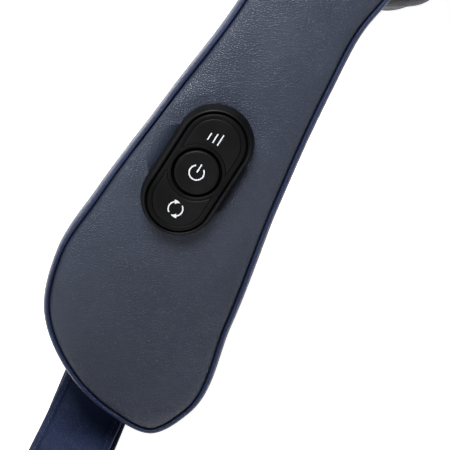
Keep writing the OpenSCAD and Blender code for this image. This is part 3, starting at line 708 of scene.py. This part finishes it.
def swept_depth(points):
    """How far the turning heads reach out of the back pad, each with a margin round it."""
    out = np.full(len(points), -2.0)
    for x, s in rotor_places():
        r = np.hypot(points[:, 0] - x, points[:, 1] - s)
        for pin, head_r, head_h in HEADS:
            part = np.clip(1 - (np.abs(r - pin) / (head_r + 1.5)) ** 2.2, 0, 1) ** (1 / 2.2)
            out = np.maximum(out, np.where(part > 0, HEAD_BASE + head_h * part, -2.0))
    return out


def mesh_depth(points):
    """How far the elastic mesh stands out below the lining."""
    out = np.zeros(len(points))
    for x, s in rotor_places():
        r = np.hypot(points[:, 0] - x, points[:, 1] - s) / MOUND_R
        bump = np.where(r < 1, (1 - r * r) ** 2, 0)
        out = out + bump * MOUND_H - out * bump * 0.35
    edge = distance(points, MESH_EDGE, closed=True)
    soft = out * (1 - np.exp(-(edge / 9) ** 1.5)) + 1.6 * (1 - np.exp(-edge / 3)) - 1.0
    return np.maximum(soft, swept_depth(points) + HEAD_MARGIN)


def make_mesh():
    """The elastic cover over the heads, sewn in at MESH_EDGE."""
    grid = grid_points(MESH_EDGE.min(0), MESH_EDGE.max(0), 3.2)
    middle = MESH_EDGE.mean(0)
    rings = [middle + (MESH_EDGE - middle) * k for k in (0.99, 0.975, 0.955)]
    keep = inside(grid, rings[-1])
    keep &= distance(grid, rings[-1], closed=True) > 2
    plane, tris = fill_plane(MESH_EDGE, np.vstack(rings + [grid[keep]]))
    w = -depth(plane[:, 1]) - mesh_depth(plane)
    obj = new_object("mesh_cover", bent(plane[:, 0], plane[:, 1], w), tris)
    outward(obj, False)
    shell(obj, 0.6)
    finish_piece(obj, cloth_mesh, body="core", replaces=("mesh_liner",))
    return obj


def sweep(name, path, profile, closed=False, up=(0, 0, 1)):
    """A solid with a fixed cross-section along a path in metres; the profile is in millimetres."""
    path = np.asarray(path, float)
    tangent = np.roll(path, -1, 0) - np.roll(path, 1, 0) if closed else np.gradient(path, axis=0)
    tangent /= np.linalg.norm(tangent, axis=1)[:, None]
    rows = []
    for p, t in zip(path, tangent):
        side = np.cross(t, up)
        side /= np.linalg.norm(side)
        lift = np.cross(side, t)
        rows.append([p + (side * u + lift * v) * MM for u, v in profile])
    n, m = len(path), len(profile)
    faces = [(i * m + k, i * m + (k + 1) % m, (i + 1) % n * m + (k + 1) % m, (i + 1) % n * m + k)
             for i in range(n if closed else n - 1) for k in range(m)]
    if not closed:
        faces += [tuple(range(m))[::-1], tuple((n - 1) * m + k for k in range(m))]
    obj = new_object(name, np.array(rows).reshape(-1, 3), faces)
    recalc(obj)
    return obj


def make_mesh_piping():
    """The round piping sewn round the elastic mesh."""
    w = -depth(MESH_EDGE[:, 1]) - 0.9
    path = bent(MESH_EDGE[:, 0], MESH_EDGE[:, 1], w)
    circle = [(1.5 * math.cos(a), 1.5 * math.sin(a)) for a in np.linspace(0, 2 * math.pi, 10, endpoint=False)]
    normal = (0, -math.sin(PAD_SLOPE), -math.cos(PAD_SLOPE))
    obj = sweep("mesh_piping", path, circle, closed=True, up=normal)
    return finish_piece(obj, leather_band, body="core")


for side in ("right", "left"):
    make_lining(side)
make_mesh()
make_mesh_piping()

# --- Hand straps: one band of leather folded into a flat loop, sewn under the arm ---

STRAP_T = 2.2
STRAP_LONG, STRAP_ROUND = 110.0, 16.0
STRAP_PLAN = math.radians(66)
STRAP_S = -217.0


def strap_ends():
    """The hinge of the right strap, and the strap's direction on the table."""
    joint = JOINTS["strap_right_swing"]
    axis = np.array(joint["axis"])
    ahead = np.array([-axis[1], axis[0], 0])
    if ahead[1] > 0:
        ahead = -ahead
    return np.array(joint["pos_m"]) * np.array([1, 1, 0]), ahead / np.linalg.norm(ahead)


STRAP_ROOT, STRAP_AHEAD = strap_ends()


def strap_path():
    """Points of the middle of the band, with the direction that its outer side faces."""
    def under_arm(inward, w):
        x = STRAP_ROOT[0] / MM + inward * math.cos(STRAP_PLAN)
        return bent(x, STRAP_S + inward * math.sin(STRAP_PLAN), w)

    def on_table(along, z):
        return STRAP_ROOT + STRAP_AHEAD * along * MM + np.array([0, 0, z * MM])

    r = STRAP_ROUND - STRAP_T / 2
    far = STRAP_LONG - STRAP_ROUND
    slope = 2 * math.atan(r / far)
    turn = np.linspace(math.pi / 2 + slope, -math.pi / 2, 15)
    knots = [under_arm(d, -34.9) for d in (42, 30, 18, 10)]
    knots += [on_table(4, 3.8), on_table(14, 6.2), on_table(34, 12.6), on_table(62, 21.6)]
    knots += [on_table(far + r * math.cos(a), STRAP_ROUND + r * math.sin(a)) for a in turn]
    knots += [on_table(d, STRAP_T / 2 + 0.05) for d in (far - 12, 66, 36, 14, 4)]
    knots += [under_arm(d, -37.3) for d in (10, 18, 26)]
    knots = np.array(knots)
    gaps = np.linalg.norm(np.diff(knots, axis=0), axis=1)
    path = []
    for i, gap in enumerate(gaps):
        count = max(1, int(round(gap / (2.4 * MM))))
        path += [knots[i] + (knots[i + 1] - knots[i]) * k / count for k in range(count)]
    path = np.array(path + [knots[-1]])
    for _ in range(6):
        path[1:-1] = (path[:-2] + 2 * path[1:-1] + path[2:]) / 4
    return path


# Half of the band's cross-section, from the middle of its outer side to its edge: [across, height]
STRAP_HALF = [(0, 1.02), (5, 1.02), (9.5, 0.98), (12.4, 0.9), (13.2, 0.78), (13.8, 0.52), (14.4, 0.86),
              (15.0, 1.16), (16.2, 1.24), (17.3, 1.15), (18.1, 0.82), (18.5, 0.25)]
STITCH_AT, STITCH_PITCH, STITCH_LONG, STITCH_R = 15.6, 3.0, 2.1, 0.22


def strap_profile():
    outer = [(-u, v) for u, v in STRAP_HALF[:0:-1]] + STRAP_HALF
    inner = [(u, -v) for u, v in outer[::-1]]
    return np.array(outer + inner)


def strap_frames(path):
    """Unit vectors along and across the band and out of its outer side."""
    tangent = np.gradient(path, axis=0)
    tangent /= np.linalg.norm(tangent, axis=1)[:, None]
    across = np.cross(STRAP_AHEAD, (0, 0, 1))
    out = np.cross(across, tangent)
    return tangent, across, out / np.linalg.norm(out, axis=1)[:, None]


def make_strap(side):
    """The folded band: one cross-section along the path, slightly uneven like sewn leather."""
    path = strap_path()
    tangent, across, out = strap_frames(path)
    profile = strap_profile()
    run = np.concatenate([[0], np.cumsum(np.linalg.norm(np.diff(path, axis=0), axis=1))]) / MM
    rows = []
    for i, p in enumerate(path):
        share = run[i] / run[-1]
        wide = 1 + 0.06 * min(max((share - 0.5) * 8, 0), 1)
        lean = 0.5 * noise.noise(Vector((run[i] / 34, 2.5, 0)))
        u = profile[:, 0] * wide + lean
        pucker = 0.12 * np.array([noise.noise(Vector((run[i] / 7, a / 9, 5.5))) for a in profile[:, 0]])
        v = profile[:, 1] + pucker * np.sign(profile[:, 1])
        rows.append(p + (across * u[:, None] + out[i] * v[:, None]) * MM)
    n, m = len(path), len(profile)
    points = np.array(rows).reshape(-1, 3)
    points[:, 2] = np.maximum(points[:, 2], 0)
    faces = [(i * m + k, i * m + (k + 1) % m, (i + 1) * m + (k + 1) % m, (i + 1) * m + k)
             for i in range(n - 1) for k in range(m)]
    faces += [tuple(range(m))[::-1], tuple((n - 1) * m + k for k in range(m))]
    if side == "left":
        points = mirror_x(points)
    obj = new_object(f"strap_{side}", points, faces)
    recalc(obj)
    finish_piece(obj, leather_strap, blend=strap_blend(side),
                 replaces=(f"strap_loop_{side}", f"strap_anchor_{side}"))
    make_strap_stitches(side, path, tangent, across, out, run)
    return obj


def strap_blend(side):
    flip = np.array([1 if side == "right" else -1, 1, 1])
    hinge = STRAP_ROOT + np.array([0, 0, 3 * MM])
    return (f"arm_{side}", f"strap_{side}", tuple((hinge - STRAP_AHEAD * 7 * MM) * flip),
            tuple((hinge + STRAP_AHEAD * 9 * MM) * flip))


def make_strap_stitches(side, path, tangent, across, out, run):
    """Rows of short stitches along both hems of the outer side, as one mesh."""
    points, faces = [], []
    stops = np.arange(16, run[-1] - 60, STITCH_PITCH)
    ring = [(math.cos(a), math.sin(a)) for a in np.linspace(0, 2 * math.pi, 6, endpoint=False)]
    for stop in stops:
        middle = np.array([np.interp(stop, run, path[:, k]) for k in range(3)])
        i = int(np.argmin(np.abs(run - stop)))
        for edge in (-1, 1):
            centre = middle + (across * edge * STITCH_AT + out[i] * 1.24) * MM
            first = len(points)
            for t, r in ((-0.5, 0.35), (-0.3, 1), (0.3, 1), (0.5, 0.35)):
                base = centre + tangent[i] * t * STITCH_LONG * MM
                points += [base + (across * a + out[i] * b) * r * STITCH_R * MM for a, b in ring]
            faces += [(first + j * 6 + k, first + j * 6 + (k + 1) % 6, first + j * 6 + 6 + (k + 1) % 6,
                       first + j * 6 + 6 + k) for j in range(3) for k in range(6)]
            faces += [tuple(first + k for k in range(6))[::-1], tuple(first + 18 + k for k in range(6))]
    points = np.array(points)
    if side == "left":
        points = mirror_x(points)
    obj = new_object(f"strap_stitches_{side}", points, faces)
    recalc(obj)
    finish_piece(obj, thread_navy, blend=strap_blend(side))


for side in ("right", "left"):
    make_strap(side)

# --- Control panel ---

GROOVE_R, PLATE_R, MOAT_R, POWER_R = 16.5, 15.4, 12.6, 11.1
MOAT_FLOOR = 2.4                      # low enough for the power key's foot when it is pressed
KEY_R, KEY_BITE_R = 13.0, 14.4
KEY_TOP = 7.0


def stadium_loop(r, count=40):
    """A closed outline of the panel's form, always with the same number of points."""
    turn = np.linspace(0, math.pi, count)
    top = np.stack([r * np.cos(turn), PANEL_HALF + r * np.sin(turn)], axis=1)
    side = np.linspace(PANEL_HALF, -PANEL_HALF, 8)[1:-1]
    left = np.stack([np.full(6, -r), side], axis=1)
    return np.vstack([top, left, -top, -left])


def circle_loop(r, count=72):
    turn = np.linspace(0, 2 * math.pi, count, endpoint=False)
    return np.stack([r * np.cos(turn), r * np.sin(turn)], axis=1)


def key_loop(inset_by, flip):
    """Outline of an end key: a round end with the power key's ring bitten out of it."""
    r, bite = KEY_R - inset_by, KEY_BITE_R + inset_by
    tip = math.asin(min(r / bite, 1))
    low = bite * math.cos(tip)
    turn = np.linspace(0, math.pi, 30)
    arc = np.stack([r * np.cos(turn), PANEL_HALF + r * np.sin(turn)], axis=1)
    side = np.linspace(PANEL_HALF, low, 6)[1:-1]
    left = np.stack([np.full(4, -r), side], axis=1)
    back = np.linspace(math.pi / 2 + tip, math.pi / 2 - tip, 26)
    notch = np.stack([bite * np.cos(back), bite * np.sin(back)], axis=1)
    notch[[0, -1]] += np.array([[0.25, 0.35], [-0.25, 0.35]])
    right = np.stack([np.full(4, r), side[::-1]], axis=1)
    loop = np.vstack([arc, left, notch, right])
    return loop * flip


def loft(name, loops, heights, cap=True):
    """A shell through closed outlines of the panel, each at its own height, closed at the last."""
    m = len(loops[0])
    points = [on_panel(loop[:, 0], loop[:, 1], np.broadcast_to(w, m)) for loop, w in zip(loops, heights)]
    faces = [(i * m + k, i * m + (k + 1) % m, (i + 1) * m + (k + 1) % m, (i + 1) * m + k)
             for i in range(len(loops) - 1) for k in range(m)]
    if cap:
        faces.append(tuple((len(loops) - 1) * m + k for k in range(m)))
        faces.append(tuple(range(m))[::-1])
    obj = new_object(name, np.vstack(points), faces)
    recalc(obj)
    return obj


def make_bezel():
    """The rim of the panel; its profile runs from under the leather, over the top, into the groove."""
    profile = [(18.4, -3.2), (19.0, -1.2), (19.2, -0.2), (19.15, 0.5), (18.9, 1.7), (18.5, 3.2),
               (18.1, 4.6), (17.8, 5.6), (17.5, 6.25), (17.15, 6.55), (16.85, 6.6), (16.6, 6.45),
               (16.5, 6.1), (16.5, 4.4), (16.5, 3.0)]
    obj = loft("bezel", [stadium_loop(r) for r, _ in profile], [w for _, w in profile], cap=False)
    return finish_piece(obj, plastic_black, body="arm_right", replaces=("control_bezel",))


def make_plate():
    """The plate between the keys: its rim, its top with three holes, and the walls of the holes."""
    border = stadium_loop(PLATE_R - 0.55)
    holes = [circle_loop(MOAT_R + 0.35), key_loop(-0.3, 1), key_loop(-0.3, -1)]
    plane, tris = fill_plane(border, np.zeros((0, 2)), holes)
    parts = [(on_panel(plane[:, 0], plane[:, 1], KEY_TOP), [tuple(t) for t in tris])]

    def wall(loops, heights):
        m = len(loops[0])
        pts = np.vstack([on_panel(a[:, 0], a[:, 1], w) for a, w in zip(loops, heights)])
        fcs = [(i * m + k, i * m + (k + 1) % m, (i + 1) * m + (k + 1) % m, (i + 1) * m + k)
               for i in range(len(loops) - 1) for k in range(m)]
        parts.append((pts, fcs))

    wall([stadium_loop(PLATE_R - d) for d in (0.55, 0.28, 0.08, 0, 0)],
         (KEY_TOP, KEY_TOP - 0.06, KEY_TOP - 0.25, KEY_TOP - 0.55, 2.6))
    wall([circle_loop(MOAT_R + d) for d in (0.35, 0.16, 0.04, 0, 0)],
         (KEY_TOP, KEY_TOP - 0.06, KEY_TOP - 0.2, KEY_TOP - 0.5, MOAT_FLOOR))
    for flip in (1, -1):
        wall([key_loop(-d, flip) for d in (0.3, 0.2, 0.12, 0.12)],
             (KEY_TOP, KEY_TOP - 0.05, KEY_TOP - 0.3, 4.6))
    wall([circle_loop(MOAT_R), circle_loop(POWER_R - 0.8)], (MOAT_FLOOR, MOAT_FLOOR))
    wall([stadium_loop(GROOVE_R + 0.1), stadium_loop(PLATE_R - 0.1)], (2.9, 2.7))
    points, faces = [], []
    for pts, fcs in parts:
        first = len(points)
        points += [tuple(p) for p in pts]
        faces += [tuple(first + k for k in f) for f in fcs]
    obj = new_object("key_surround", points, faces)
    recalc(obj)
    return finish_piece(obj, plastic_panel, body="arm_right", replaces=("key_plate",))


def dish(radius):
    """Height of the power key's top, hollowed a little towards its middle."""
    return KEY_TOP + 0.15 - 0.4 * (1 - np.minimum(np.asarray(radius, float) / 10.0, 1) ** 2)


def make_keys():
    rings = [(11.1, 3.4), (11.1, 6.2), (11.02, 6.6), (10.8, 6.95), (10.45, 7.12), (10.0, 7.15)]
    rings += [(r, float(dish(r))) for r in (8.6, 7, 5, 3, 1)]
    power = loft("power_key", [circle_loop(r) for r, _ in rings], [w for _, w in rings])
    finish_piece(power, plastic_key, body="key_power", replaces=("key_power",))
    for name, flip in (("intensity", 1), ("rotation", -1)):
        steps = [(0, 4.4), (0, 6.5), (0.06, 6.75), (0.2, 6.92), (0.45, 7.0), (1.2, 7.02), (2.4, 7.0)]
        key = loft(f"{name}_key", [key_loop(d, flip) for d, _ in steps], [w for _, w in steps])
        finish_piece(key, plastic_key, body=f"key_{name}", replaces=(f"key_{name}",))


def stroke(path, width, height, closed=False):
    """Points and faces of a flat painted line along a path of the panel, a little above the key's top."""
    path = np.array(path, float)
    side = normals(path, closed) * width / 2
    left, right = path + side, path - side
    inner = side * 0.18
    rows = [(left, -0.12), (left, 0.0), (left - inner, 0.05),
            (right + inner, 0.05), (right, 0.0), (right, -0.12)]
    top = [np.broadcast_to(height(path), len(path)) + lift for _, lift in rows]
    points = np.vstack([on_panel(r[:, 0], r[:, 1], w) for (r, _), w in zip(rows, top)])
    n = len(path)
    last = n if closed else n - 1
    faces = [(k * n + i, k * n + (i + 1) % n, (k + 1) * n + (i + 1) % n, (k + 1) * n + i)
             for k in range(5) for i in range(last)]
    faces += [(5 * n + i, 5 * n + (i + 1) % n, (i + 1) % n, i) for i in range(last)]
    if not closed:
        faces += [tuple(k * n for k in range(6)), tuple(k * n + n - 1 for k in range(6))[::-1]]
    return points, faces


def arc(cx, cy, r, start, stop, count=30):
    turn = np.radians(np.linspace(start, stop, count))
    return np.stack([cx + r * np.cos(turn), cy + r * np.sin(turn)], axis=1)


def make_icon(name, strokes, body, height):
    points, faces = [], []
    for path, width in strokes:
        pts, fcs = stroke(path, width, height)
        first = len(points)
        points += [tuple(p) for p in pts]
        faces += [tuple(first + k for k in f) for f in fcs]
    obj = new_object(name, points, faces, smooth=False)
    recalc(obj)
    return finish_piece(obj, icon_paint, body=body)


def arrow_head(cx, cy, r, at, size):
    """Strokes that narrow to a point, clockwise along a circle."""
    steps = []
    for k in range(6):
        a = math.radians(at - k * 7.5)
        half = size * (1 - k / 5.5)
        steps.append(((np.array([(cx + (r - half) * math.cos(a), cy + (r - half) * math.sin(a)),
                                 (cx + (r + half) * math.cos(a), cy + (r + half) * math.sin(a))])), 0.52))
    return steps


def make_icons():
    """Generic printed signs: three bars, a power sign and two turning arrows."""
    flat = lambda path: np.full(len(path), KEY_TOP + 0.03)
    foot = 17.0
    bars = [([(u, foot), (u, foot + h / 2), (u, foot + h)], 0.62)
            for u, h in ((-4.35, 4.0), (-1.43, 5.2), (1.24, 6.2))]
    make_icon("icon_intensity", bars, "key_intensity", flat)
    power = [(arc(0, 0, 3.7, 125, 415, 48), 0.68), ([(0, 0.2), (0, 2.5), (0, 4.9)], 0.68)]
    make_icon("icon_power", power, "key_power", lambda path: dish(np.hypot(path[:, 0], path[:, 1])) + 0.02)
    cx, cy, r = 0.9, -21.0, 3.6
    turns = [(arc(cx, cy, r, 238, 122), 0.66), (arc(cx, cy, r, 58, -58), 0.66)]
    turns += arrow_head(cx, cy, r, 124, 1.05) + arrow_head(cx, cy, r, -56, 1.05)
    make_icon("icon_rotation", turns, "key_rotation", flat)


make_bezel()
make_plate()
make_keys()
make_icons()

# --- Charging socket: a moulded flange round the socket's mouth ---


def make_socket():
    low, high = [np.array(c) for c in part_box("charge_jack")]
    middle = (low + high) / 2
    out = np.array([math.cos(SOCKET_TURN), *(math.sin(SOCKET_TURN) * arm_y[1:])])
    rise = np.array([0, -math.sin(ARM_SLOPE), math.cos(ARM_SLOPE)])
    along = np.cross(rise, out)
    mouth = middle + out * (SOCKET_DEEP / 2) * MM

    def ring(half_long, half_high, r, depth_out):
        loop = rounded_rectangle(half_long, -half_high, half_high, r, step=50)
        return [mouth + (along * a + rise * b + out * depth_out) * MM for a, b in loop]

    steps = [(8.3, 5.2, 3.0, -2.5), (8.3, 5.2, 3.0, 0.4), (8.1, 5.0, 2.9, 0.9), (7.6, 4.5, 2.6, 1.2),
             (6.4, 3.3, 2.2, 1.2), (5.4, 2.4, 1.9, 0.6), (4.9, 2.0, 1.7, 0.3), (4.7, 1.8, 1.6, -0.2),
             (4.6, 1.7, 1.5, -5.5)]
    points = np.vstack([ring(*step) for step in steps])
    m = len(points) // len(steps)
    faces = [(i * m + k, i * m + (k + 1) % m, (i + 1) * m + (k + 1) % m, (i + 1) * m + k)
             for i in range(len(steps) - 1) for k in range(m)]
    faces += [tuple((len(steps) - 1) * m + k for k in range(m)), tuple(range(m))[::-1]]
    obj = new_object("socket_flange", points, faces)
    recalc(obj)
    finish_piece(obj, plastic_black, body="arm_left")
    tongue_steps = [(3.1, 0.35, 0.3, -5.4), (3.1, 0.35, 0.3, -1.4), (3.0, 0.28, 0.25, -1.2)]
    points = np.vstack([ring(*step) for step in tongue_steps])
    faces = [(i * m + k, i * m + (k + 1) % m, (i + 1) * m + (k + 1) % m, (i + 1) * m + k)
             for i in range(len(tongue_steps) - 1) for k in range(m)]
    faces.append(tuple((len(tongue_steps) - 1) * m + k for k in range(m)))
    tongue = new_object("socket_tongue", points, faces)
    recalc(tongue)
    finish_piece(tongue, plastic_panel, body="arm_left")


SOCKET_TURN = math.radians(180 - 143.6)
SOCKET_DEEP = 10.5
make_socket()

# --- The frame's own pieces keep their shape and get detailed materials ---

FRAME_MATERIALS = {
    "foam": plastic("foam_grey", srgb(200, 198, 190), 0.95, 700, 0.9),
    "black_plastic": plastic_black,
    "panel_plastic": plastic_panel,
    "key_plastic": plastic_key,
    "acetal": plastic("acetal_white", srgb(226, 224, 214), 0.38, 1200, 0.15, 0.04),
    "head_plastic": plastic("head_grey", srgb(120, 124, 132), 0.42, 1200, 0.2),
    "bronze": plastic("sintered_bronze", srgb(176, 132, 76), 0.42, 2200, 0.35, 0.2, 1.0),
    "cable_rubber": plastic("cable_grey", srgb(56, 58, 62), 0.6, 900, 0.3),
    "board": plastic("board_green", srgb(22, 84, 52), 0.45, 500, 0.3),
    "cell_wrap": plastic("cell_blue", srgb(46, 96, 158), 0.35, 300, 0.1),
    "steel": plastic("brushed_steel", srgb(168, 170, 174), 0.34, 1800, 0.25, 0.08, 1.0),
    "mesh_fabric": cloth_mesh,
    "lining_fabric": cloth_lining,
    "face_leather": leather_face,
    "side_leather": leather_band,
    "strap_leather": leather_strap,
}

for part in frame["record"]["subparts"]:
    materials = frame["nodes"][part["node"]].data.materials
    materials.clear()
    materials.append(FRAME_MATERIALS[part["material_slot"]])


# --- Floor and light ---


def make_stage():
    mesh = bpy.data.meshes.new("floor")
    reach = 6.0
    mesh.from_pydata([(-reach, -reach, 0), (reach, -reach, 0), (reach, reach, 0), (-reach, reach, 0)], [],
                     [(0, 1, 2, 3)])
    floor = bpy.data.objects.new("floor", mesh)
    bpy.context.scene.collection.objects.link(floor)
    n = Nodes("floor_white")
    mesh.materials.append(n.finish(srgb(250, 250, 250), 0.9))
    n.shader.inputs["Emission Color"].default_value = (1, 1, 1, 1)
    n.shader.inputs["Emission Strength"].default_value = 0.9


def add_light(name, place, aim, size, power):
    """A square soft box of size metres, with power in watts, that looks at aim."""
    light = bpy.data.lights.new(name, "AREA")
    light.shape = "SQUARE"
    light.size = size
    light.energy = power
    obj = bpy.data.objects.new(name, light)
    bpy.context.scene.collection.objects.link(obj)
    obj.visible_camera = False
    obj.location = place
    obj.rotation_euler = (Vector(place) - Vector(aim)).to_track_quat("Z", "Y").to_euler()


make_stage()
add_light("key_light", (-0.20, 0.14, 0.60), (-0.14, 0.0, 0.1), 0.34, 6.3)
add_light("fill_light", (-1.2, -1.3, 1.0), (-0.12, -0.05, 0.1), 1.0, 5)
add_light("rim_light", (1.2, 1.1, 1.2), (0, 0, 0.1), 2.4, 2)

world = bpy.data.worlds.new("studio")
bpy.context.scene.world = world
world.use_nodes = True
world.node_tree.nodes["Background"].inputs["Color"].default_value = (1, 1, 1, 1)
world.node_tree.nodes["Background"].inputs["Strength"].default_value = 0.22
bpy.context.scene.view_settings.view_transform = "Standard"
